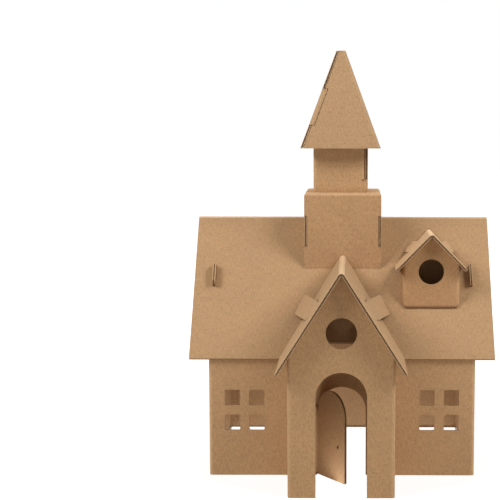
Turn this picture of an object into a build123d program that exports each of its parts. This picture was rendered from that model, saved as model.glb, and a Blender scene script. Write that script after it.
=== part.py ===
"""A toy castle of nine sheets of corrugated board, cut, folded and tucked together.

A house of four walls under a pitched roof carries a porch, a dormer and a two-stage tower
with a spire. Millimetres, +Z up, +X to the right of someone facing the door, which looks
towards -Y. The origin is on the floor, under the middle of the whole castle.
"""

import os
from math import atan, cos, degrees, radians, sin, tan

from build123d import *

os.makedirs("parts", exist_ok=True)

# Board
board = 1.6  # thickness of the sheet
bend = 0.6  # inside radius of a fold
seat = 0.15  # gap between sheets that rest on each other
slot_gap = 0.3  # room round a tab in its slot
kerf = 0.35  # width of a cut between two edges of one sheet

# House walls
house_width = 172.0
house_depth = 127.7
corner_flap = 5.0  # strip tucked behind the back wall at the seam
flap_slant = 4.0  # how far its ends slant
pane_width = 9.7
pane_height = 10.3
mullion = 6.1  # bar between two panes
pane_round = 0.8
window_centre = 62.9  # from the middle of the house
window_height = 43.2  # centre of the four panes
door_width = 30.8
door_height = 58.5  # top of the round arch
door_angle = 54.0  # how far the leaf stands open
door_lift = 1.0  # room under the leaf
knob_hole = 2.3
knob_inset = 7.5  # from the leaf's free edge
knob_height = 23.5
lock_length = 15.6  # gable tabs that lock through the roof
lock_rise = 5.0
lock_chamfer = 1.6
lock_centre = 34.8  # from the front and back walls

# Main roof
verge_reach = 12.4  # how far it passes the gables
roof_angle = 53.05
eave_height = 77.3  # upper lip of the eave
eave_reach = 2.0  # how far it passes the front and back walls
eave_gap_width = 46.0  # cut out of the eave inside the porch
eave_gap_rise = 9.2

# Porch
porch_width = 65.8
porch_depth = 49.8
porch_arch_width = 31.4
porch_arch_rise = 0.8  # top of the arch above the main eaves
porch_hole = 19.0
porch_hole_gap = 14.5  # between the arch and the round hole
porch_tab_length = 16.0  # tabs that hold its side walls in the house
porch_tab_height = 38.0
porch_tab_reach = 5.0  # past the outer face of the house wall
porch_angle = 57.65
porch_span = 80.2
porch_eave_rise = 0.8  # above the eaves of the main roof
porch_overhang = 7.2
porch_tongue_start = 28.0  # from the front edge of its roof
porch_tongue_width = 14.6
porch_tongue_drop = 25.3  # from the ridge, along the slope, to its upper edge
porch_lift_angle = 7.5  # angles of the tongue against its panel
porch_lean_angle = 9.3
porch_tongue_round = 3.0

# Dormer
dormer_centre = 58.2
dormer_width = 37.0
dormer_setback = 19.9  # from the house front
dormer_hole = 16.7
dormer_hole_drop = 1.7  # its centre below the dormer's eaves
dormer_corner = 2.0  # round at the foot of the front
dormer_tab_length = 9.0
dormer_tab_reach = 5.0
dormer_tab_centre = 33.0  # from the house front
dormer_angle = 45.5
dormer_span = 47.0
dormer_eave_rise = 55.3  # above the eaves of the main roof
dormer_overhang = 5.0
dormer_tongue_start = 19.5
dormer_tongue_width = 10.0
dormer_tongue_drop = 9.5
dormer_lift_angle = 9.0
dormer_lean_angle = 11.0
dormer_tongue_round = 3.5

# Tower
base_width = 51.4  # square box astride the ridge
base_rise = 16.4  # its top above the ridge
finger_length = 20.1  # corner fingers of its side panels
finger_drop = 15.6  # from the top of the box to a finger
upper_width = 36.4
upper_shift = -1.5  # the upper stage stands a little to the left
upper_flap = 9.0
upper_hem = 9.0  # closed stretch at the foot of its seam
foot_length = 14.0  # tabs that hold it in the box
foot_reach = 4.0
spire_base = 53.3
spire_tip = 6.1
spire_lift = 29.5  # foot of the spire above the box
spire_height = 64.9
spire_tab_start = 15.2  # tab in the middle of the spire's seam, from its foot
spire_tab_length = 24.0
spire_tab_wrap = 3.6  # how far the tab comes round onto the front panel

# Places that follow from the sizes
fold = bend + board / 2  # radius of a fold at the middle of the sheet
fold_out = bend + board  # and at its outer face
front_reach = porch_depth + porch_overhang
back_reach = house_depth + eave_reach
house_front = (front_reach - back_reach) / 2
house_back = house_front + house_depth
ridge_y = (house_front + house_back) / 2
eave_y = house_front - eave_reach
porch_front = house_front - porch_depth
porch_edge = porch_front - porch_overhang
dormer_front = house_front + dormer_setback
dormer_edge = dormer_front - dormer_overhang
base_front = ridge_y - base_width / 2
roof_length = house_width + 2 * verge_reach
roof_rise = tan(radians(roof_angle))
roof_peak = eave_height + (ridge_y - eave_y) * roof_rise
porch_eave_height = eave_height + porch_eave_rise
porch_arch_height = eave_height + porch_arch_rise
porch_hole_height = porch_arch_height + porch_hole_gap + porch_hole / 2
dormer_eave_height = eave_height + dormer_eave_rise
dormer_hole_height = dormer_eave_height - dormer_hole_drop
base_top = roof_peak + base_rise
finger_high = base_top - finger_drop
finger_low = finger_high - finger_length
spire_low = base_top + spire_lift
spire_high = spire_low + spire_height
spire_tab_low = spire_low + spire_tab_start
spire_tab_high = spire_tab_low + spire_tab_length
far = house_width + house_depth + spire_high  # past everything


def roof_z(y):
    """Height of the front slope's face at a Y."""
    return eave_height + (y - eave_y) * roof_rise


def slope_plane(x, y):
    """Plane on the front slope's face, its X along the ridge and its Y up the slope."""
    normal = (0, -sin(radians(roof_angle)), cos(radians(roof_angle)))
    return Plane(origin=(x, y, roof_z(y)), x_dir=(1, 0, 0), z_dir=normal)


def edge_plane(x, y):
    """Upright plane across the front slope at a point, its X up the slope and its Y outwards."""
    along = (0, cos(radians(roof_angle)), sin(radians(roof_angle)))
    return Plane(origin=(x, y, roof_z(y)), x_dir=along, z_dir=(1, 0, 0))


def gable_points(span, low, slope):
    """Middle line of a sheet folded to a gable, from one lower edge over the ridge to the other."""
    rise = tan(radians(slope))
    foot_x = span / 2 - board / 2 * sin(radians(slope))
    foot_z = low - board / 2 * cos(radians(slope))
    peak_z = low + span / 2 * rise - board / 2 / cos(radians(slope))
    return [(-foot_x, foot_z), (0, peak_z), (foot_x, foot_z)]


def gable_peak(span, low, slope):
    """Height of the point that fits under a gable roof."""
    return low + span / 2 * tan(radians(slope)) - (board + seat) / cos(radians(slope))


def under_gable(span, low, slope):
    """Corners of the space above the walls that stand under a gable roof."""
    rise = tan(radians(slope))
    peak_z = gable_peak(span, low, slope)
    return [(0, peak_z), (far, peak_z - far * rise), (far, far), (-far, far), (-far, peak_z - far * rise)]


# Space at and behind the front slope, which pieces in front of the roof keep out of
slope_dir = Vector(cos(radians(roof_angle)), sin(radians(roof_angle)))
slope_out = Vector(-sin(radians(roof_angle)), cos(radians(roof_angle)))
eave_lip = Vector(eave_y, eave_height)
lip_out = eave_lip + slope_out * seat - slope_dir * seat
lip_under = eave_lip - slope_out * board - slope_dir * seat
with BuildPart() as behind_slope:
    with BuildSketch(Plane.YZ):
        with BuildLine():
            Polyline(
                (lip_under.X, lip_under.Y),
                (lip_out.X, lip_out.Y),
                (lip_out.X + far * slope_dir.X, lip_out.Y + far * slope_dir.Y),
                (far, lip_under.Y),
                close=True,
            )
        make_face()
    extrude(amount=far, both=True)

# Everything under the roof's face, both slopes
with BuildPart() as under_roof:
    with BuildSketch(Plane.YZ):
        with BuildLine():
            face_peak = roof_peak + seat / cos(radians(roof_angle))
            Polyline(
                (ridge_y, face_peak),
                (ridge_y + far, face_peak - far * roof_rise),
                (ridge_y - far, face_peak - far * roof_rise),
                close=True,
            )
        make_face()
    extrude(amount=far, both=True)

# Door leaf: cut free round its arch and folded outwards on its left side
wall_mid = house_front + board / 2
hinge_x = -door_width / 2
leaf_dir = Vector(cos(radians(door_angle)), -sin(radians(door_angle)), 0)
fold_setback = fold * tan(radians(door_angle / 2))
leaf_width = door_width - kerf
leaf_end = Vector(hinge_x, wall_mid, 0) + leaf_dir * leaf_width
arch_spring = door_height - door_width / 2
with BuildPart() as door_leaf:
    with BuildSketch(Plane.XY.offset(door_lift)):
        with BuildLine():
            FilletPolyline(
                (hinge_x - 2 * fold_setback, wall_mid),
                (hinge_x, wall_mid),
                (leaf_end.X, leaf_end.Y),
                radius=fold,
            )
        trace(line_width=board)
    extrude(amount=door_height - kerf - door_lift)
    leaf_upright = Plane(
        origin=(hinge_x, wall_mid, 0), x_dir=leaf_dir, z_dir=leaf_dir.cross(Vector(0, 0, 1))
    )
    with BuildSketch(leaf_upright):
        with Locations((0, arch_spring)):
            Rectangle(4 * door_width, 2 * door_width, align=(Align.CENTER, Align.MIN))
        with Locations((door_width / 2, arch_spring)):
            Circle(door_width / 2 - kerf, mode=Mode.SUBTRACT)
    extrude(amount=door_width, both=True, mode=Mode.SUBTRACT)
    with BuildSketch(leaf_upright):
        with Locations((leaf_width - knob_inset, knob_height)):
            Circle(knob_hole / 2)
    extrude(amount=2 * board, both=True, mode=Mode.SUBTRACT)

# House walls: one sheet folded round, its seam at the back left corner
side_mid = house_width / 2 - board / 2
back_mid = house_back - board / 2
flap_mid = back_mid - board - seat
with BuildPart() as house_walls:
    with BuildSketch():
        with BuildLine():
            FilletPolyline(
                (-house_width / 2, back_mid),
                (side_mid, back_mid),
                (side_mid, wall_mid),
                (-side_mid, wall_mid),
                (-side_mid, flap_mid),
                (-side_mid + board / 2 + corner_flap, flap_mid),
                radius=fold,
            )
        trace(line_width=board)
    under_peak = roof_peak - (board + seat) / cos(radians(roof_angle))
    extrude(amount=under_peak - board)
    with BuildSketch(Plane.YZ):
        with BuildLine():
            Polyline(
                (ridge_y, under_peak),
                (ridge_y + far, under_peak - far * roof_rise),
                (ridge_y + far, far),
                (ridge_y - far, far),
                (ridge_y - far, under_peak - far * roof_rise),
                close=True,
            )
        make_face()
    extrude(amount=far, both=True, mode=Mode.SUBTRACT)
    # Slanted ends of the corner flap
    flap_root = -side_mid + board / 2
    flap_end = flap_root + corner_flap
    flap_top = under_peak - (flap_mid + board / 2 - ridge_y) * roof_rise
    with BuildSketch(Plane.XZ.offset(-flap_mid)):
        for level, turn in ((0, 1), (flap_top, -1)):
            with BuildLine():
                Polyline(
                    (flap_root, level),
                    (flap_end, level + turn * flap_slant),
                    (flap_end, level - turn * flap_slant),
                    (flap_root, level - turn * flap_slant),
                    close=True,
                )
            make_face()
    extrude(amount=board / 2, both=True, mode=Mode.SUBTRACT)
    # Windows
    with BuildSketch(Plane.XZ.offset(-house_front)):
        with Locations((-window_centre, window_height), (window_centre, window_height)):
            with GridLocations(pane_width + mullion, pane_height + mullion, 2, 2):
                RectangleRounded(pane_width, pane_height, pane_round)
    extrude(amount=-board, mode=Mode.SUBTRACT)
    # Doorway
    with BuildSketch(Plane.XZ.offset(-house_front)):
        with Locations((-fold_setback / 2, 0)):
            Rectangle(door_width + fold_setback, arch_spring, align=(Align.CENTER, Align.MIN))
        with Locations((0, arch_spring)):
            Circle(door_width / 2)
    extrude(amount=-board, mode=Mode.SUBTRACT)
    add(door_leaf.part)
    # Slots for the tabs of the porch's side walls
    with BuildSketch(Plane.XZ.offset(-house_front)):
        porch_side_mid = porch_width / 2 - board / 2
        with Locations((-porch_side_mid, porch_tab_height), (porch_side_mid, porch_tab_height)):
            Rectangle(board + 2 * slot_gap, porch_tab_length + 2 * slot_gap)
    extrude(amount=-board, mode=Mode.SUBTRACT)
    # Lock tabs on the gables
    for lock_x in (-side_mid, side_mid):
        lock_plane = edge_plane(lock_x, house_front + lock_centre)
        with BuildSketch(lock_plane):
            with BuildLine():
                Polyline(
                    (-lock_length / 2, -2 * board),
                    (lock_length / 2, -2 * board),
                    (lock_length / 2, lock_rise - lock_chamfer),
                    (lock_length / 2 - lock_chamfer, lock_rise),
                    (lock_chamfer - lock_length / 2, lock_rise),
                    (-lock_length / 2, lock_rise - lock_chamfer),
                    close=True,
                )
            make_face()
        locks = extrude(amount=board / 2, both=True)
        mirror(locks, about=Plane.XZ.offset(-ridge_y))
house_walls.part.label = "house_walls"
export_step(house_walls.part, "parts/house_walls.step")

# Main roof: one sheet folded along the ridge
with BuildPart() as main_roof:
    with BuildSketch(Plane.YZ):
        with BuildLine():
            roof_line = gable_points(2 * (ridge_y - eave_y), eave_height, roof_angle)
            FilletPolyline([(ridge_y + y, z) for y, z in roof_line], radius=fold)
        trace(line_width=board)
    extrude(amount=roof_length / 2, both=True)
    # Slots for the gable tabs
    for lock_x in (-side_mid, side_mid):
        with BuildSketch(edge_plane(lock_x, house_front + lock_centre)):
            Rectangle(lock_length + 2 * slot_gap, 4 * board)
        slots = extrude(amount=board / 2 + slot_gap, both=True, mode=Mode.SUBTRACT)
        mirror(slots, about=Plane.XZ.offset(-ridge_y), mode=Mode.SUBTRACT)
    # Gap in the eave inside the porch
    gap_length = eave_gap_rise / sin(radians(roof_angle))
    with BuildSketch(slope_plane(0, eave_y)):
        Rectangle(eave_gap_width, 2 * gap_length)
    extrude(amount=2 * board, both=True, mode=Mode.SUBTRACT)
    # Slots for the dormer's tabs
    dormer_side_mid = dormer_width / 2 - board / 2
    for tab_x in (dormer_centre - dormer_side_mid, dormer_centre + dormer_side_mid):
        with BuildSketch(edge_plane(tab_x, house_front + dormer_tab_centre)):
            Rectangle(dormer_tab_length + 2 * slot_gap, 4 * board)
        extrude(amount=board / 2 + slot_gap, both=True, mode=Mode.SUBTRACT)
main_roof.part.label = "main_roof"
export_step(main_roof.part, "parts/main_roof.step")

# Porch walls: a front gable with two sides folded back to the house
porch_front_mid = porch_front + board / 2
porch_rear = house_front - seat
with BuildPart() as porch_walls:
    with BuildSketch():
        with BuildLine():
            FilletPolyline(
                (-porch_side_mid, porch_rear),
                (-porch_side_mid, porch_front_mid),
                (porch_side_mid, porch_front_mid),
                (porch_side_mid, porch_rear),
                radius=fold,
            )
        trace(line_width=board)
    extrude(amount=gable_peak(porch_span, porch_eave_height, porch_angle) - board)
    with BuildSketch(Plane.XZ):
        with BuildLine():
            Polyline(under_gable(porch_span, porch_eave_height, porch_angle), close=True)
        make_face()
    extrude(amount=far, both=True, mode=Mode.SUBTRACT)
    add(behind_slope.part, mode=Mode.SUBTRACT)
    with BuildSketch(Plane.XZ.offset(-porch_front)):
        porch_spring = porch_arch_height - porch_arch_width / 2
        Rectangle(porch_arch_width, porch_spring, align=(Align.CENTER, Align.MIN))
        with Locations((0, porch_spring)):
            Circle(porch_arch_width / 2)
        with Locations((0, porch_hole_height)):
            Circle(porch_hole / 2)
    extrude(amount=-board, mode=Mode.SUBTRACT)
    for tab_x in (-porch_side_mid, porch_side_mid):
        with BuildSketch(Plane.YZ.offset(tab_x)):
            with Locations((house_front - board, porch_tab_height)):
                Rectangle(board + porch_tab_reach, porch_tab_length, align=(Align.MIN, Align.CENTER))
        extrude(amount=board / 2, both=True)
porch_walls.part.label = "porch_walls"
export_step(porch_walls.part, "parts/porch_walls.step")


def roof_tongue(centre, span, low, slope, edge, start, drop, width, lift, lean, tip_round):
    """The right tongue of a small gable roof and the notch that it leaves in its panel.

    It is cut free from the rear edge, folded up a little, and ends on the main roof.
    """
    down = Vector(cos(radians(slope)), 0, -sin(radians(slope)))
    out = Vector(sin(radians(slope)), 0, cos(radians(slope)))
    back = Vector(0, 1, 0)
    peak_z = gable_points(span, low, slope)[1][1]
    root = Vector(centre, edge + start, peak_z) + down * (drop + width / 2)
    notch_slant = tan(radians(lean))
    with BuildPart() as notch:
        with BuildSketch(Plane(origin=root, x_dir=down, z_dir=down.cross(back))):
            with BuildLine():
                half = width / 2 + kerf
                Polyline(
                    (-half, 0),
                    (half, 0),
                    (half + far * notch_slant, far),
                    (-half + far * notch_slant, far),
                    close=True,
                )
            make_face()
        extrude(amount=board, both=True)
    rise_dir = back * cos(radians(lift)) + out * sin(radians(lift))
    along = rise_dir * cos(radians(lean)) + down * sin(radians(lean))
    slope_face = slope_plane(centre, edge)
    face_normal = slope_face.z_dir
    tip_points = []
    for corner in (-width / 2, width / 2):
        to_face = (slope_face.origin - root - down * corner).dot(face_normal)
        reach = to_face / along.dot(face_normal)
        tip_points.append((corner + reach * sin(radians(lean)), reach * cos(radians(lean))))
    with BuildPart() as tongue:
        with BuildSketch(Plane(origin=root, x_dir=down, z_dir=down.cross(rise_dir))):
            with BuildLine():
                Polyline((-width / 2, -board), *tip_points, (width / 2, -board), close=True)
            make_face()
            fillet(vertices().sort_by(Axis.Y)[-2:], radius=tip_round)
        extrude(amount=board / 2, both=True)
    return notch.part, tongue.part


# Porch roof: a folded sheet over the porch, run back to the main roof and the tower
porch_notch, porch_tongue = roof_tongue(
    0, porch_span, porch_eave_height, porch_angle, porch_edge, porch_tongue_start,
    porch_tongue_drop, porch_tongue_width, porch_lift_angle, porch_lean_angle, porch_tongue_round,
)
with BuildPart() as porch_roof:
    with BuildSketch(Plane.XZ.offset(-porch_edge)):
        with BuildLine():
            FilletPolyline(gable_points(porch_span, porch_eave_height, porch_angle), radius=fold)
        trace(line_width=board)
    extrude(amount=-(base_front - seat - porch_edge))
    add(porch_notch, mode=Mode.SUBTRACT)
    mirror(porch_notch, about=Plane.YZ, mode=Mode.SUBTRACT)
    add(porch_tongue)
    mirror(porch_tongue, about=Plane.YZ)
    add(behind_slope.part, mode=Mode.SUBTRACT)
porch_roof.part.label = "porch_roof"
export_step(porch_roof.part, "parts/porch_roof.step")

# Dormer walls: a front gable with two sides folded back, cut to the slope
dormer_front_mid = dormer_front + board / 2
dormer_peak = gable_peak(dormer_span, dormer_eave_height, dormer_angle)
dormer_foot = roof_z(dormer_front) - 2 * board
with BuildPart() as dormer_walls:
    with BuildSketch(Plane.XY.offset(dormer_foot)):
        with BuildLine():
            FilletPolyline(
                (dormer_centre - dormer_side_mid, ridge_y),
                (dormer_centre - dormer_side_mid, dormer_front_mid),
                (dormer_centre + dormer_side_mid, dormer_front_mid),
                (dormer_centre + dormer_side_mid, ridge_y),
                radius=fold,
            )
        trace(line_width=board)
    extrude(amount=dormer_peak - board - dormer_foot)
    with BuildSketch(Plane.XZ):
        with Locations((dormer_centre, 0)):
            Polygon(under_gable(dormer_span, dormer_eave_height, dormer_angle), align=None)
    extrude(amount=far, both=True, mode=Mode.SUBTRACT)
    add(behind_slope.part, mode=Mode.SUBTRACT)
    with BuildSketch(Plane.XZ.offset(-dormer_front)):
        with Locations((dormer_centre, dormer_hole_height)):
            Circle(dormer_hole / 2)
    extrude(amount=-board, mode=Mode.SUBTRACT)
    # Round corners at its foot
    with BuildSketch(Plane.XZ.offset(-dormer_front)):
        for side in (-1, 1):
            corner_x = dormer_centre + side * dormer_width / 2
            corner_z = roof_z(dormer_front)
            with Locations((corner_x, corner_z)):
                Rectangle(2 * dormer_corner, 2 * dormer_corner)
            with Locations((corner_x - side * dormer_corner, corner_z + dormer_corner)):
                Circle(dormer_corner, mode=Mode.SUBTRACT)
    extrude(amount=-fold_out, mode=Mode.SUBTRACT)
    for tab_x in (dormer_centre - dormer_side_mid, dormer_centre + dormer_side_mid):
        with BuildSketch(edge_plane(tab_x, house_front + dormer_tab_centre)):
            with Locations((0, board)):
                Rectangle(dormer_tab_length, board + dormer_tab_reach, align=(Align.CENTER, Align.MAX))
        extrude(amount=board / 2, both=True)
dormer_walls.part.label = "dormer_walls"
export_step(dormer_walls.part, "parts/dormer_walls.step")

# Dormer roof: the porch roof's smaller twin
dormer_notch, dormer_tongue = roof_tongue(
    dormer_centre, dormer_span, dormer_eave_height, dormer_angle, dormer_edge, dormer_tongue_start,
    dormer_tongue_drop, dormer_tongue_width, dormer_lift_angle, dormer_lean_angle, dormer_tongue_round,
)
with BuildPart() as dormer_roof:
    with BuildSketch(Plane.XZ.offset(-dormer_edge)):
        with BuildLine():
            dormer_line = gable_points(dormer_span, dormer_eave_height, dormer_angle)
            FilletPolyline([(dormer_centre + x, z) for x, z in dormer_line], radius=fold)
        trace(line_width=board)
    extrude(amount=-(ridge_y - dormer_edge))
    add(dormer_notch, mode=Mode.SUBTRACT)
    mirror(dormer_notch, about=Plane.YZ.offset(dormer_centre), mode=Mode.SUBTRACT)
    add(dormer_tongue)
    mirror(dormer_tongue, about=Plane.YZ.offset(dormer_centre))
    add(behind_slope.part, mode=Mode.SUBTRACT)
dormer_roof.part.label = "dormer_roof"
export_step(dormer_roof.part, "parts/dormer_roof.step")

# Tower box: a top with four sides folded down, astride the ridge
base_foot = roof_z(base_front) - 2 * board
upper_mid = upper_width / 2 - board / 2
with BuildPart() as tower_base:
    with BuildSketch(Plane.XY.offset(base_foot)):
        with Locations((0, ridge_y)):
            Rectangle(base_width, base_width)
    extrude(amount=base_top - base_foot)
    fillet(faces().sort_by(Axis.Z)[-1].edges(), radius=fold_out)
    offset(amount=-board, openings=faces().sort_by(Axis.Z)[0])
    add(under_roof.part, mode=Mode.SUBTRACT)
    # Corners: the front and back panels cover the sides' ends, apart from one finger each
    panel_top = base_top - fold_out
    finger_mid = (finger_low + finger_high) / 2
    for side in (-1, 1):
        edge_x = side * (base_width / 2 - board / 2)
        notch_x = side * (base_width / 2 - board - kerf / 2)
        for end in (-1, 1):
            edge_y = ridge_y + end * (base_width / 2 - board / 2)
            slit_y = ridge_y + end * (base_width / 2 - board - kerf / 2)
            with Locations((edge_x, slit_y, (base_foot + finger_low) / 2)):
                Box(board, kerf, finger_low - base_foot, mode=Mode.SUBTRACT)
            with Locations((edge_x, slit_y, (finger_high + panel_top) / 2)):
                Box(board, kerf, panel_top - finger_high, mode=Mode.SUBTRACT)
            with Locations((notch_x, edge_y, finger_mid)):
                Box(kerf, board, finger_length, mode=Mode.SUBTRACT)
            with Locations((edge_x, edge_y, finger_low), (edge_x, edge_y, finger_high)):
                Box(board + 2 * kerf, board + 2 * kerf, kerf, mode=Mode.SUBTRACT)
    # Slots for the feet of the upper stage
    for foot_x in (upper_shift - upper_mid, upper_shift + upper_mid):
        with Locations((foot_x, ridge_y, base_top)):
            Box(board + 2 * slot_gap, foot_length + 2 * slot_gap, 4 * board, mode=Mode.SUBTRACT)
tower_base.part.label = "tower_base"
export_step(tower_base.part, "parts/tower_base.step")

# Spire walls lean in evenly on all sides
spire_lean = (spire_base - spire_tip) / 2 / spire_height
spire_wall = board * (1 + spire_lean**2) ** 0.5  # its sheet measured level


def spire_half(height):
    """Half width of the spire at a height."""
    return spire_base / 2 - (height - spire_low) * spire_lean


# Upper stage: a square tube that carries the spire, its seam at the right front corner
upper_front = ridge_y - upper_width / 2
upper_low = base_top + seat
upper_top = spire_low + (spire_base / 2 - spire_wall - upper_width / 2 - 2 * seat) / spire_lean
flap_x = upper_shift + upper_mid - board - seat
with BuildPart() as tower_upper:
    with BuildSketch(Plane.XY.offset(upper_low)):
        with BuildLine():
            FilletPolyline(
                (upper_shift + upper_mid, upper_front),
                (upper_shift + upper_mid, ridge_y + upper_mid),
                (upper_shift - upper_mid, ridge_y + upper_mid),
                (upper_shift - upper_mid, ridge_y - upper_mid),
                (flap_x, ridge_y - upper_mid),
                (flap_x, ridge_y - upper_mid + upper_flap),
                radius=fold,
            )
        trace(line_width=board)
    extrude(amount=upper_top - upper_low)
    # Foot of the seam, where the front panel covers the edge of the right one
    upper_right = upper_shift + upper_width / 2
    with Locations((upper_right, upper_front, upper_low)):
        Box(board, board + kerf, upper_hem, align=(Align.MAX, Align.MIN, Align.MIN), mode=Mode.SUBTRACT)
        Box(3 * board, board, upper_hem - kerf, align=(Align.MAX, Align.MIN, Align.MIN))
    for foot_x in (upper_shift - upper_mid, upper_shift + upper_mid):
        with Locations((foot_x, ridge_y, base_top - foot_reach)):
            Box(board, foot_length, foot_reach + board, align=(Align.CENTER, Align.CENTER, Align.MIN))
tower_upper.part.label = "tower_upper"
export_step(tower_upper.part, "parts/tower_upper.step")


def spire_shell(folded_edges):
    """Hollow spire without its seam, folded along the last of its slanted edges.

    The edges are counted from the left front one.
    """
    with BuildPart() as shell:
        with BuildSketch(Plane.XY.offset(spire_low)):
            with Locations((upper_shift, ridge_y)):
                Rectangle(spire_base, spire_base)
        extrude(amount=spire_height, taper=degrees(atan(spire_lean)))
        slanted = edges().sort_by(Axis.Z)[4:8]
        from_seam = slanted.sort_by(lambda edge: edge.center().X + edge.center().Y)
        fillet(from_seam[-folded_edges:], radius=fold_out)
        ends = faces().sort_by(Axis.Z)
        offset(amount=-board, openings=[ends[0], ends[-1]])
    return shell.part


# Corner of the spire between the heights of its tab
with BuildPart() as tab_corner:
    tab_side = spire_half(spire_tab_low) - spire_half(spire_tab_high) + 2 * fold_out
    corner = spire_half(spire_tab_low)
    with Locations((upper_shift - corner, ridge_y - corner, spire_tab_low)):
        Box(tab_side, tab_side, spire_tab_length, align=(Align.MIN, Align.MIN, Align.MIN))

# Spire: four tapered panels, its seam down the left front edge
with BuildPart() as spire:
    add(spire_shell(3))
    add(tab_corner.part, mode=Mode.SUBTRACT)
    add(spire_shell(4).intersect(tab_corner.part))
    # Seam between the front panel and the left panel's edge, above and below the tab
    for low, high in ((spire_low, spire_tab_low), (spire_tab_high, spire_high)):
        with BuildSketch(Plane.XZ.offset(-ridge_y)):
            low_x = upper_shift - spire_half(low) + spire_wall
            high_x = upper_shift - spire_half(high) + spire_wall
            with BuildLine():
                Polyline(
                    (low_x, low), (low_x + kerf, low), (high_x + kerf, high), (high_x, high), close=True
                )
            make_face()
        extrude(amount=spire_base, mode=Mode.SUBTRACT)
    # Tab of the left panel, folded round the edge into a slit in the front panel
    with BuildSketch(Plane.XZ.offset(-ridge_y)):
        low_x = upper_shift - spire_half(spire_tab_low) + spire_tab_wrap
        high_x = upper_shift - spire_half(spire_tab_high) + spire_tab_wrap
        with BuildLine():
            Polyline(
                (low_x, spire_tab_low),
                (low_x + kerf, spire_tab_low),
                (high_x + kerf, spire_tab_high),
                (high_x, spire_tab_high),
                close=True,
            )
        make_face()
    extrude(amount=spire_base, mode=Mode.SUBTRACT)
    for tab_end in (spire_tab_low, spire_tab_high):
        corner = spire_half(tab_end)
        with Locations((upper_shift - corner, ridge_y - corner, tab_end)):
            Box(2 * (spire_tab_wrap + kerf), 2 * (spire_wall + kerf), kerf, mode=Mode.SUBTRACT)
spire.part.label = "spire"
export_step(spire.part, "parts/spire.step")
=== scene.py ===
"""A toy castle of nine sheets of corrugated board, dressed around its solids.

Every sheet keeps the outline and place of its solid. Its cut edges are opened to show the two
liners with the paper wave between them, and its faces get the finish of bare kraft paper.
"""

import math

import bmesh
import bpy
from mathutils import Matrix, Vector
from mathutils.bvhtree import BVHTree


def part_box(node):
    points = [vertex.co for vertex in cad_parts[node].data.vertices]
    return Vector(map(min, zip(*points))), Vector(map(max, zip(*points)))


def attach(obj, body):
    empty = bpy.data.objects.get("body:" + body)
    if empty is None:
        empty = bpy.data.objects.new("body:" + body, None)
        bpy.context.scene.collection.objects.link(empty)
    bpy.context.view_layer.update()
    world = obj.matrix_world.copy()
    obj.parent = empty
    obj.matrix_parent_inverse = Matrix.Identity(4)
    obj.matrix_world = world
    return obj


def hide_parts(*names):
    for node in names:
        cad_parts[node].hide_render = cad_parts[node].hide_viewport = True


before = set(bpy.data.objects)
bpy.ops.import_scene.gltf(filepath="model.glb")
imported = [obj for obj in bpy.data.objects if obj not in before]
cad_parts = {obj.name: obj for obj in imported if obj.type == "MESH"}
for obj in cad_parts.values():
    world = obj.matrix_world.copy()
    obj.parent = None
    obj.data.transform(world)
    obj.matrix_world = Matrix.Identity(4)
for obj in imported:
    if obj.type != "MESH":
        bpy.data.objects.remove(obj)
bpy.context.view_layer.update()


# House walls
# One sheet of brown corrugated board, folded round into four walls. Windows and doorway are
# punched through it, tabs on its gables lock through the roof, and a flap closes the back corner.
# The board is a paper wave, the medium, glued between two kraft liners.

board = 0.0016  # thickness of the sheet
liner = 0.00032  # paper of each face
weld = 1e-6  # corners closer than this are one
skin = 1e-5  # start of a probe, just under a face
cut_depth = 0.0021  # the way in through a cut edge is longer than this
cut_share = 0.3  # on at least this share of it
channel = 0.0011  # how far the liners stand past the inside, which is painted dark as shade
channel_wall = 0.00001  # step from a liner's edge to the inside
flat_angle = math.radians(0.5)  # triangles that turn less than this are one panel
fold_facet = 0.0012  # facets narrower than this belong to a fold
flute_pitch = 0.0032
flute_wave = 0.0004  # half the height of the wave
medium_paper = 0.00016  # thickness of the wave's paper
medium_setback = 0.00012  # behind the liners' edges
medium_depth = 0.00095  # how far into the sheet it goes
medium_step = 0.0004  # between two points of the wave
shade_break = math.radians(30)  # sharper edges are shaded hard
least_lean = 0.4  # a slanted cut counts as no flatter than this
level_least = 0.05  # a face with less of a level direction than this counts as flat

fold_wear_and_highlight = 0.2  # how pale the folds are: partly rubbed and cracked, partly a painted highlight
ridge_wear_and_highlight = 1.0  # the folds of the roofs, rubbed and with a stronger painted highlight
rim_highlight = 0.9  # painted highlight on the cut edges of the liners


def patches(faces, joined):
    """Splits faces into sets whose members touch along edges that count as joined."""
    left = set(faces)
    found = []
    while left:
        start = left.pop()
        patch = {start}
        queue = [start]
        while queue:
            for edge in queue.pop().edges:
                fresh = left.intersection(edge.link_faces) if joined(edge) else ()
                left.difference_update(fresh)
                patch.update(fresh)
                queue.extend(fresh)
        found.append(patch)
    return found


def total_area(faces):
    """Area of a set of faces."""
    return sum(face.calc_area() for face in faces)


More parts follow.
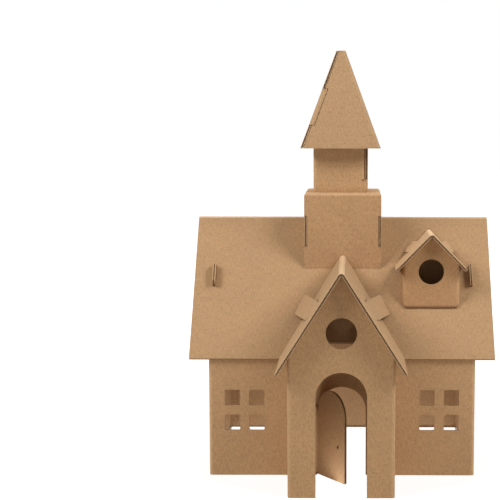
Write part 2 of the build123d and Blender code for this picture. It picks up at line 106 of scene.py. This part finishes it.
def medium_line(name, sheet, cut, rise):
    """The middle line of every cut edge, with the directions that the medium's wave needs."""
    outer = max(patches(set(sheet.faces) - cut, lambda edge: True), key=total_area)
    across = {}
    inward = {}
    rims = []
    for edge in sheet.edges:
        faces = edge.link_faces
        if len(faces) != 2:
            continue
        in_cut = [face in cut for face in faces]
        if in_cut[0] == in_cut[1]:
            continue
        edge_face = faces[0] if in_cut[0] else faces[1]
        liner_face = faces[1] if in_cut[0] else faces[0]
        if liner_face not in outer:
            continue
        start, end = edge.verts
        into = edge_face.normal.cross(end.co - start.co).normalized()
        middle = (start.co + end.co) / 2
        if into.dot(edge_face.calc_center_median() - middle) < 0:
            into.negate()
        lean = max(abs(into.dot(liner_face.normal)), least_lean)
        rims.append((start, end))
        for corner in (start, end):
            across.setdefault(corner, []).append(into * (board / 2 / lean))
            inward.setdefault(corner, []).append(-edge_face.normal)
    line = bpy.data.meshes.new(name)
    corners = list(across)
    number = {corner: index for index, corner in enumerate(corners)}
    half_ways = [sum(across[corner], Vector()) / len(across[corner]) for corner in corners]
    points = [corner.co + half for corner, half in zip(corners, half_ways)]
    line.from_pydata(points, [(number[start], number[end]) for start, end in rims], [])
    line.attributes.new("across", "FLOAT_VECTOR", "POINT")
    line.attributes.new("inward", "FLOAT_VECTOR", "POINT")
    line.attributes.new("flute_run", "FLOAT", "POINT")
    for index, corner in enumerate(corners):
        line.attributes["across"].data[index].vector = half_ways[index].normalized()
        line.attributes["inward"].data[index].vector = sum(inward[corner], Vector()).normalized()
        line.attributes["flute_run"].data[index].value = corner.co.z * rise
    return line


def add_node(tree, kind, **settings):
    """A new node in a tree, with its settings."""
    made = tree.nodes.new(kind)
    for setting, value in settings.items():
        setattr(made, setting, value)
    return made


def medium_tree():
    """Geometry Nodes: the paper wave that follows the middle line of the cut edges."""
    tree = bpy.data.node_groups.new("corrugated_medium", "GeometryNodeTree")
    sockets = tree.interface
    sockets.new_socket("Geometry", in_out="INPUT", socket_type="NodeSocketGeometry")
    for size in ("Flute pitch", "Wave height", "Paper", "Setback", "Depth", "Step"):
        sockets.new_socket(size, in_out="INPUT", socket_type="NodeSocketFloat")
    sockets.new_socket("Finish", in_out="INPUT", socket_type="NodeSocketMaterial")
    sockets.new_socket("Geometry", in_out="OUTPUT", socket_type="NodeSocketGeometry")
    join = tree.links.new

    def node(kind, **settings):
        return add_node(tree, kind, **settings)

    def named(attribute, data_type):
        made = node("GeometryNodeInputNamedAttribute", data_type=data_type)
        made.inputs["Name"].default_value = attribute
        return made.outputs["Attribute"]

    def scaled(vector, amount):
        made = node("ShaderNodeVectorMath", operation="SCALE")
        join(vector, made.inputs[0])
        join(amount, made.inputs["Scale"])
        return made.outputs[0]

    def math_of(operation, first, second=None):
        made = node("ShaderNodeMath", operation=operation)
        join(first, made.inputs[0])
        if isinstance(second, float):
            made.inputs[1].default_value = second
        elif second is not None:
            join(second, made.inputs[1])
        return made.outputs[0]

    given = node("NodeGroupInput").outputs
    curve = node("GeometryNodeMeshToCurve")
    join(given["Geometry"], curve.inputs["Mesh"])
    steps = node("GeometryNodeResampleCurve", mode="LENGTH")
    join(curve.outputs["Curve"], steps.inputs["Curve"])
    join(given["Step"], steps.inputs["Length"])

    turns = math_of("DIVIDE", named("flute_run", "FLOAT"), given["Flute pitch"])
    swing = math_of("SINE", math_of("MULTIPLY", turns, 2 * math.pi))
    sideways = scaled(named("across", "FLOAT_VECTOR"), math_of("MULTIPLY", swing, given["Wave height"]))
    deeper = scaled(named("inward", "FLOAT_VECTOR"), given["Setback"])
    shift = node("ShaderNodeVectorMath", operation="ADD")
    join(sideways, shift.inputs[0])
    join(deeper, shift.inputs[1])
    wave = node("GeometryNodeSetPosition")
    join(steps.outputs["Curve"], wave.inputs["Geometry"])
    join(shift.outputs[0], wave.inputs["Offset"])

    thread = node("GeometryNodeCurveToMesh")
    join(wave.outputs["Geometry"], thread.inputs["Curve"])
    ribbon = node("GeometryNodeExtrudeMesh", mode="EDGES")
    join(thread.outputs["Mesh"], ribbon.inputs["Mesh"])
    join(named("inward", "FLOAT_VECTOR"), ribbon.inputs["Offset"])
    join(given["Depth"], ribbon.inputs["Offset Scale"])

    half_paper = math_of("MULTIPLY", given["Paper"], -0.5)
    centred = node("GeometryNodeSetPosition")
    join(ribbon.outputs["Mesh"], centred.inputs["Geometry"])
    join(scaled(node("GeometryNodeInputNormal").outputs[0], half_paper), centred.inputs["Offset"])
    thick = node("GeometryNodeExtrudeMesh", mode="FACES")
    thick.inputs["Individual"].default_value = False
    join(centred.outputs["Geometry"], thick.inputs["Mesh"])
    join(given["Paper"], thick.inputs["Offset Scale"])
    under = node("GeometryNodeFlipFaces")
    join(centred.outputs["Geometry"], under.inputs["Mesh"])
    both = node("GeometryNodeJoinGeometry")
    join(thick.outputs["Mesh"], both.inputs["Geometry"])
    join(under.outputs["Mesh"], both.inputs["Geometry"])
    welded = node("GeometryNodeMergeByDistance")
    welded.inputs["Distance"].default_value = weld
    join(both.outputs["Geometry"], welded.inputs["Geometry"])
    real = node("GeometryNodeRealizeInstances")
    join(welded.outputs["Geometry"], real.inputs["Geometry"])
    painted = node("GeometryNodeSetMaterial")
    join(real.outputs["Geometry"], painted.inputs["Geometry"])
    join(given["Finish"], painted.inputs["Material"])
    join(painted.outputs["Geometry"], node("NodeGroupOutput").inputs["Geometry"])
    return tree


medium_nodes = medium_tree()


colour_a, colour_b, colour_out = 6, 7, 2  # the colour sockets of a Mix node
fibre_scale = (2600, 260, 1)  # across and along the flutes, per metre
blotch_scale = 45.0
grain_scale = 900.0
speck_scale = 1500.0
flute_relief = 0.16  # shares of the relief
grain_relief = 0.55
fibre_relief = 0.35
relief_height = 0.00012
relief_strength = 0.5
paper_gloss = 0.22
smooth_paper = 0.81  # roughness, from the smoothest to the roughest blotch
rough_paper = 0.91


def kraft_paper(name, base, wear_and_highlight_tone):
    """Bare kraft paper: blotches, fibres along the sheet, specks, folds made paler by wear and a
    painted highlight, and cut rims made paler by a painted highlight.
    """
    paper = bpy.data.materials.new(name)
    paper.use_nodes = True
    tree = paper.node_tree
    tree.nodes.clear()
    join = tree.links.new

    def node(kind, **settings):
        return add_node(tree, kind, **settings)

    def noise(vector, scale, detail, rough):
        made = node("ShaderNodeTexNoise")
        made.inputs["Scale"].default_value = scale
        made.inputs["Detail"].default_value = detail
        made.inputs["Roughness"].default_value = rough
        join(vector, made.inputs["Vector"])
        return made.outputs["Fac"]

    def math_of(operation, first, second):
        made = node("ShaderNodeMath", operation=operation)
        join(first, made.inputs[0])
        if isinstance(second, float):
            made.inputs[1].default_value = second
        else:
            join(second, made.inputs[1])
        return made.outputs[0]

    def spread(value, low, high, to_low, to_high):
        made = node("ShaderNodeMapRange")
        ends = {"From Min": low, "From Max": high, "To Min": to_low, "To Max": to_high}
        for socket, number in ends.items():
            made.inputs[socket].default_value = number
        join(value, made.inputs["Value"])
        return made.outputs["Result"]

    def blend(amount, first, second):
        made = node("ShaderNodeMix", data_type="RGBA")
        join(amount, made.inputs["Factor"])
        for socket, colour in ((made.inputs[colour_a], first), (made.inputs[colour_b], second)):
            if isinstance(colour, tuple):
                socket.default_value = colour + (1,)
            else:
                join(colour, socket)
        return made.outputs[colour_out]

    def shaded(factor):
        return tuple(part * factor for part in base)

    place = node("ShaderNodeTexCoord").outputs["Object"]
    run = node("ShaderNodeAttribute", attribute_name="sheet_run").outputs["Vector"]
    along = node("ShaderNodeMapping")
    along.inputs["Scale"].default_value = fibre_scale
    join(run, along.inputs["Vector"])
    fibres = noise(along.outputs[0], 1.0, 3.0, 0.6)
    blotches = noise(place, blotch_scale, 5.0, 0.6)
    grain = noise(place, grain_scale, 3.0, 0.6)
    specks = noise(place, speck_scale, 1.0, 0.5)

    tone = blend(spread(blotches, 0.3, 0.7, 0.0, 1.0), shaded(0.95), shaded(1.05))
    tone_steps = (  # pattern, where it starts and where it is full, how much it covers, its shade
        (fibres, 0.45, 0.75, 0.8, 1.28),
        (fibres, 0.5, 0.25, 0.7, 0.78),
        (grain, 0.48, 0.25, 0.8, 0.72),
        (grain, 0.55, 0.75, 0.6, 1.25),
        (specks, 0.68, 0.80, 0.6, 0.5),
        (specks, 0.30, 0.20, 0.5, 1.4),
    )
    for pattern, start, full, cover, shade in tone_steps:
        tone = blend(spread(pattern, start, full, 0.0, cover), tone, shaded(shade))
    # Folds are made paler by wear and a painted highlight, and the liners' cut rims by a painted
    # highlight
    worn_and_highlit = node("ShaderNodeAttribute", attribute_name="wear_and_highlight").outputs["Fac"]
    worn_and_highlit = math_of("MULTIPLY", worn_and_highlit, spread(grain, 0.25, 0.65, 0.35, 1.0))
    tone = blend(worn_and_highlit, tone, wear_and_highlight_tone)

    flutes = node("ShaderNodeSeparateXYZ")
    join(run, flutes.inputs[0])
    turns = math_of("MULTIPLY", flutes.outputs["Y"], 2 * math.pi / flute_pitch)
    ridges = math_of("MULTIPLY", math_of("SINE", turns, 0.0), flute_relief)
    relief = math_of("ADD", ridges, math_of("MULTIPLY", grain, grain_relief))
    relief = math_of("ADD", relief, math_of("MULTIPLY", fibres, fibre_relief))
    bump = node("ShaderNodeBump")
    bump.inputs["Strength"].default_value = relief_strength
    bump.inputs["Distance"].default_value = relief_height
    join(relief, bump.inputs["Height"])

    shader = node("ShaderNodeBsdfPrincipled")
    shader.inputs["Specular IOR Level"].default_value = paper_gloss
    join(tone, shader.inputs["Base Color"])
    join(spread(blotches, 0.3, 0.7, smooth_paper, rough_paper), shader.inputs["Roughness"])
    join(bump.outputs["Normal"], shader.inputs["Normal"])
    join(shader.outputs[0], node("ShaderNodeOutputMaterial").inputs["Surface"])
    return paper


# Painted shade: the bottom and walls of each opened cut edge get this dark brown for the shadowed
# hollows of the flutes
flute_shade_brown = (0.2, 0.1, 0.045)
medium_brown = (0.33, 0.20, 0.10)
flute_shade_paper = kraft_paper("board_flute_shade", flute_shade_brown, flute_shade_brown)
medium_paper_finish = kraft_paper("board_medium", medium_brown, medium_brown)


def bake_modifiers(piece):
    """Turns a piece's modifiers into a plain mesh."""
    graph = bpy.context.evaluated_depsgraph_get()
    graph.update()
    plain = bpy.data.meshes.new_from_object(piece.evaluated_get(graph))
    piece.modifiers.clear()
    piece.data = plain


def dress_sheet(node, paper, rise=1.0, rubbed_and_highlit=fold_wear_and_highlight):
    """Replaces a sheet's solid by one with open cut edges, and lays the medium into them."""
    sheet = bmesh.new()
    sheet.from_mesh(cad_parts[node].data)
    bmesh.ops.remove_doubles(sheet, verts=sheet.verts, dist=weld)
    sheet.normal_update()
    wear_and_highlight = sheet.faces.layers.float.new("wear_and_highlight")
    run = sheet.loops.layers.float_vector.new("sheet_run")
    probe = BVHTree.FromBMesh(sheet)
    for panel in patches(sheet.faces, lambda edge: edge.calc_face_angle(math.pi) < flat_angle):
        deep = set()
        for face in panel:
            start = face.calc_center_median() - face.normal * skin
            reach = probe.ray_cast(start, -face.normal)[3]
            if reach is not None and reach > cut_depth:
                deep.add(face)
        is_cut = total_area(deep) > cut_share * total_area(panel)
        for face in panel:
            face.material_index = 1 if is_cut else 0
    bmesh.ops.dissolve_limit(
        sheet, angle_limit=flat_angle, verts=sheet.verts, edges=sheet.edges, delimit={"MATERIAL"}
    )
    sheet.normal_update()
    cut = {face for face in sheet.faces if face.material_index == 1}
    # Narrow facets of a fold are made paler: wear, and a painted highlight
    for face in set(sheet.faces) - cut:
        longest = max(edge.calc_length() for edge in face.edges)
        face[wear_and_highlight] = rubbed_and_highlit if face.calc_area() / longest < fold_facet else 0.0
    line = medium_line(node + "_line", sheet, cut, rise)

    rims = bmesh.ops.inset_region(
        sheet, faces=list(cut), thickness=liner, use_boundary=True, use_even_offset=False
    )["faces"]
    # The liners' cut rims get a painted highlight
    for face in rims:
        face[wear_and_highlight] = rim_highlight
        face.material_index = 0
    walls = bmesh.ops.inset_region(
        sheet, faces=list(cut), thickness=channel_wall, use_boundary=True, use_even_offset=False
    )["faces"]
    inner = {corner for face in cut for corner in face.verts}
    outward = {
        corner: sum((face.normal for face in corner.link_faces if face in cut), Vector()).normalized()
        for corner in inner
    }
    for corner in inner:
        corner.co -= outward[corner] * channel
    # The pushed-in cut and its walls get the dark brown of painted shade
    for face in list(cut) + walls:
        face[wear_and_highlight] = 0.0
        face.material_index = 1

    for face in sheet.faces:
        level = Vector((-face.normal.y, face.normal.x, 0))
        level = level.normalized() if level.length > level_least else Vector((1, 0, 0))
        for loop in face.loops:
            loop[run] = (loop.vert.co.dot(level), loop.vert.co.z * rise, 0)
    mesh = bpy.data.meshes.new(node + "_sheet")
    sheet.to_mesh(mesh)
    sheet.free()
    mesh.materials.append(paper)
    mesh.materials.append(flute_shade_paper)
    mesh.shade_smooth()
    mesh.set_sharp_from_angle(angle=shade_break)
    dressed = bpy.data.objects.new(node + "_sheet", mesh)
    bpy.context.scene.collection.objects.link(dressed)
    level_normals = dressed.modifiers.new("level_normals", "WEIGHTED_NORMAL")
    level_normals.keep_sharp = True
    level_normals.weight = 100
    bake_modifiers(dressed)
    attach(dressed, "root")
    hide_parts(node)

    medium = bpy.data.objects.new(node + "_medium", line)
    bpy.context.scene.collection.objects.link(medium)
    waves = medium.modifiers.new("waves", "NODES")
    waves.node_group = medium_nodes
    sizes = {
        "Flute pitch": flute_pitch,
        "Wave height": flute_wave,
        "Paper": medium_paper,
        "Setback": medium_setback,
        "Depth": medium_depth,
        "Step": medium_step,
        "Finish": medium_paper_finish,
    }
    for socket in medium_nodes.interface.items_tree:
        if socket.in_out == "INPUT" and socket.name in sizes:
            waves[socket.identifier] = sizes[socket.name]
    bake_modifiers(medium)
    wave_mesh = bmesh.new()
    wave_mesh.from_mesh(medium.data)
    bmesh.ops.recalc_face_normals(wave_mesh, faces=wave_mesh.faces)
    wave_mesh.to_mesh(medium.data)
    wave_mesh.free()
    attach(medium, "root")


# Every sheet has its own copy of the kraft. Their tones are partly the sheets' own and partly painted
# light and shade: each copy was made lighter or darker for the light that falls on that sheet
kraft_brown = (0.507, 0.314, 0.164)
# Pale tone of the folds' wear, and of the painted highlights on folds and rims
kraft_worn_and_highlit = (0.64, 0.44, 0.26)
wall_paper = kraft_paper("wall_paper", kraft_brown, kraft_worn_and_highlit)
dress_sheet("house_walls", wall_paper)


# Main roof
# One sheet folded along the ridge. The gable tabs come up through its slots and hold it, and a
# gap is cut out of its eave inside the porch.


def slope_stretch(node, axis, tip=0.0):
    """Length along a sloping sheet for each unit of height, from its box."""
    low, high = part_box(node)
    height = high[2] - low[2]
    return math.hypot(height, (high[axis] - low[axis] - tip) / 2) / height


# A darker copy of the kraft: partly painted shade
roof_paper = kraft_paper("roof_paper", (0.405, 0.25, 0.129), kraft_worn_and_highlit)
dress_sheet("main_roof", roof_paper, slope_stretch("main_roof", 1), ridge_wear_and_highlight)


# Porch walls
# A front gable with an arch and a round hole punched in it, and two sides folded back to the
# house, where a tab on each goes through a slot in the front wall.

# A darker copy of the kraft: partly painted shade
porch_paper = kraft_paper("porch_paper", (0.442, 0.27, 0.136), kraft_worn_and_highlit)
dress_sheet("porch_walls", porch_paper)


# Porch roof
# A sheet folded along its ridge, with a tongue cut from each side and turned up to end on the
# main roof.

# A darker copy of the kraft: partly painted shade
porch_roof_paper = kraft_paper("porch_roof_paper", (0.41, 0.256, 0.136), kraft_worn_and_highlit)
dress_sheet("porch_roof", porch_roof_paper, slope_stretch("porch_roof", 0), ridge_wear_and_highlight)


# Dormer walls
# A small front gable with a round hole and two sides folded back, cut to the slope, whose tabs
# go through the main roof.

# A darker copy of the kraft: partly painted shade
dormer_paper = kraft_paper("dormer_paper", (0.463, 0.27, 0.132), kraft_worn_and_highlit)
dress_sheet("dormer_walls", dormer_paper)


# Dormer roof
# The porch roof's smaller twin, folded along its ridge, with a tongue cut from each side and
# turned up to end on the main roof.

# A darker copy of the kraft: partly painted shade
dormer_roof_paper = kraft_paper("dormer_roof_paper", (0.46, 0.289, 0.155), kraft_worn_and_highlit)
dress_sheet("dormer_roof", dormer_roof_paper, slope_stretch("dormer_roof", 0), ridge_wear_and_highlight)


# Tower box
# A square top with four sides folded down from it, astride the ridge. Its corners are closed by
# one finger of each side panel that stands in a notch of the front and back panels.

# A darker copy of the kraft: partly painted shade
tower_paper = kraft_paper("tower_paper", (0.47, 0.28, 0.141), kraft_worn_and_highlit)
dress_sheet("tower_base", tower_paper)


# Upper stage of the tower
# A square tube of one sheet with its seam at the right front corner. Two feet hold it in slots of
# the box.

# A lighter copy of the kraft: partly painted light
upper_paper = kraft_paper("upper_paper", (0.515, 0.313, 0.16), kraft_worn_and_highlit)
dress_sheet("tower_upper", upper_paper)


# Spire
# Four tapered panels of one sheet, folded on three of their edges. The seam is the left front
# edge, where a tab of the left panel folds round into a slit in the front panel.

spire_tip = 0.0061  # width of its open tip
# A darker copy of the kraft: partly painted shade
spire_paper = kraft_paper("spire_paper", (0.392, 0.242, 0.127), kraft_worn_and_highlit)
dress_sheet("spire", spire_paper, slope_stretch("spire", 0, spire_tip))


# Floor and background
# A white table that keeps a faint shadow, with white all round it. Patches of lit table under the
# house, the porch and the door leaf brighten these, as in the photograph.

plain_white = (1, 1, 1, 1)
warm_white = (1, 0.87, 0.73, 1)  # tint of the light in the castle's shadows
table_grey = (0.4, 0.4, 0.4, 1)
table_light = 0.42  # that the table throws onto the castle
world_light = 0.08


def seen_rays(tree):
    """1 on the rays that show the background itself, 0 on those that only light the castle."""
    paths = tree.nodes.new("ShaderNodeLightPath").outputs
    seen = paths["Is Camera Ray"]
    for path in ("Is Glossy Ray", "Is Transmission Ray"):
        either = add_node(tree, "ShaderNodeMath", operation="MAXIMUM")
        tree.links.new(seen, either.inputs[0])
        tree.links.new(paths[path], either.inputs[1])
        seen = either.outputs[0]
    return seen


def table_piece(name, low, high, height):
    """A flat rectangle of table between two corners, with a grey finish."""
    corners = [(low[0], low[1], height), (high[0], low[1], height),
               (high[0], high[1], height), (low[0], high[1], height)]
    mesh = bpy.data.meshes.new(name)
    mesh.from_pydata(corners, [], [(0, 1, 2, 3)])
    finish = bpy.data.materials.new(name)
    finish.use_nodes = True
    finish.node_tree.nodes["Principled BSDF"].inputs["Base Color"].default_value = table_grey
    mesh.materials.append(finish)
    piece = bpy.data.objects.new(name, mesh)
    bpy.context.scene.collection.objects.link(piece)
    return finish.node_tree


floor_reach = 4.0
floor_nodes = table_piece("floor", (-floor_reach, -floor_reach), (floor_reach, floor_reach), 0)
floor_shader = floor_nodes.nodes["Principled BSDF"]
floor_shader.inputs["Roughness"].default_value = 0.9
floor_shader.inputs["Specular IOR Level"].default_value = 0.1
floor_place = add_node(floor_nodes, "ShaderNodeTexCoord")
floor_way = add_node(floor_nodes, "ShaderNodeVectorMath", operation="LENGTH")
floor_white = add_node(floor_nodes, "ShaderNodeMapRange")
# Near the castle the table is seen a little less white, so that the shadow shows
floor_fades = {"From Min": 0.25, "From Max": 0.7, "To Min": 0.7, "To Max": 1.0}
for socket, number in floor_fades.items():
    floor_white.inputs[socket].default_value = number
floor_seen = seen_rays(floor_nodes)
floor_glow = add_node(floor_nodes, "ShaderNodeMix")
floor_glow.inputs["A"].default_value = table_light
floor_tint = add_node(floor_nodes, "ShaderNodeMix", data_type="RGBA")
floor_tint.inputs[colour_a].default_value = warm_white
floor_tint.inputs[colour_b].default_value = plain_white
floor_nodes.links.new(floor_place.outputs["Object"], floor_way.inputs[0])
floor_nodes.links.new(floor_way.outputs["Value"], floor_white.inputs["Value"])
floor_nodes.links.new(floor_seen, floor_glow.inputs["Factor"])
floor_nodes.links.new(floor_seen, floor_tint.inputs["Factor"])
floor_nodes.links.new(floor_white.outputs["Result"], floor_glow.inputs["B"])
floor_nodes.links.new(floor_glow.outputs["Result"], floor_shader.inputs["Emission Strength"])
floor_nodes.links.new(floor_tint.outputs[colour_out], floor_shader.inputs["Emission Color"])


def lit_patch(name, low, high, height, thrown):
    """A rectangle of table that is seen white and throws a given light up into the castle."""
    nodes = table_piece(name, low, high, height)
    shader = nodes.nodes["Principled BSDF"]
    shader.inputs["Emission Color"].default_value = plain_white
    strength = add_node(nodes, "ShaderNodeMix")
    strength.inputs["A"].default_value = thrown
    strength.inputs["B"].default_value = 1.0
    nodes.links.new(seen_rays(nodes), strength.inputs["Factor"])
    nodes.links.new(strength.outputs["Result"], shader.inputs["Emission Strength"])


lit_patch("lit_room", (-0.083, -0.034), (0.083, 0.0894), height=0.0002, thrown=1.0)
lit_patch("lit_porch", (-0.031, -0.084), (0.031, -0.034), height=0.0002, thrown=0.3)
lit_patch("lit_door", (-0.03, -0.084), (0.0, -0.055), height=0.0003, thrown=3.0)

world = bpy.data.worlds.new("studio")
bpy.context.scene.world = world
world.use_nodes = True
world_nodes = world.node_tree
soft = world_nodes.nodes["Background"]
soft.inputs["Color"].default_value = warm_white
soft.inputs["Strength"].default_value = world_light
white = add_node(world_nodes, "ShaderNodeBackground")
white.inputs["Color"].default_value = plain_white
white.inputs["Strength"].default_value = 1.0
shown = add_node(world_nodes, "ShaderNodeMixShader")
world_nodes.links.new(seen_rays(world_nodes), shown.inputs[0])
world_nodes.links.new(soft.outputs[0], shown.inputs[1])
world_nodes.links.new(white.outputs[0], shown.inputs[2])
world_nodes.links.new(shown.outputs[0], world_nodes.nodes["World Output"].inputs["Surface"])


# Lights and camera
# Two soft boxes high on the left and right, weaker ones above the front and behind, and the
# photograph's long lens, a little above the porch and looking slightly down.

castle_middle = Vector((0, 0, 0.12))


def soft_box(name, place, size, power):
    """A square soft box that looks at the middle of the castle."""
    lamp = bpy.data.lights.new(name, "AREA")
    lamp.size = size
    lamp.energy = power
    box = bpy.data.objects.new(name, lamp)
    box.location = place
    box.rotation_euler = (castle_middle - Vector(place)).to_track_quat("-Z", "Y").to_euler()
    bpy.context.scene.collection.objects.link(box)


soft_box("left_box", (-0.85, -0.42, 0.95), size=0.5, power=12.0)
soft_box("right_box", (0.85, -0.42, 0.95), size=0.5, power=12.0)
soft_box("top_box", (0, -0.3, 1.35), size=0.5, power=1.0)
soft_box("back_box", (0, 0.9, 0.95), size=0.6, power=7.0)

photo_side = 500
focal = 1275.58  # of the photograph's lens, in its pixels
centre_x = 353.43  # where the lens looks, in the same pixels
centre_y = 261.47
camera_place = (0.00694, -0.84434, 0.23659)
pitch_down = 0.1189
roll = 0.0025
lens = bpy.data.cameras.new("camera")
lens.sensor_width = 36
lens.lens = lens.sensor_width * focal / photo_side
lens.shift_x = 0.5 - centre_x / photo_side
lens.shift_y = centre_y / photo_side - 0.5
lens.clip_end = 50
camera = bpy.data.objects.new("camera", lens)
camera.location = camera_place
camera.rotation_euler = (math.pi / 2 - pitch_down, -roll, 0)
bpy.context.scene.collection.objects.link(camera)
bpy.context.scene.camera = camera

bpy.context.scene.view_settings.view_transform = "Standard"
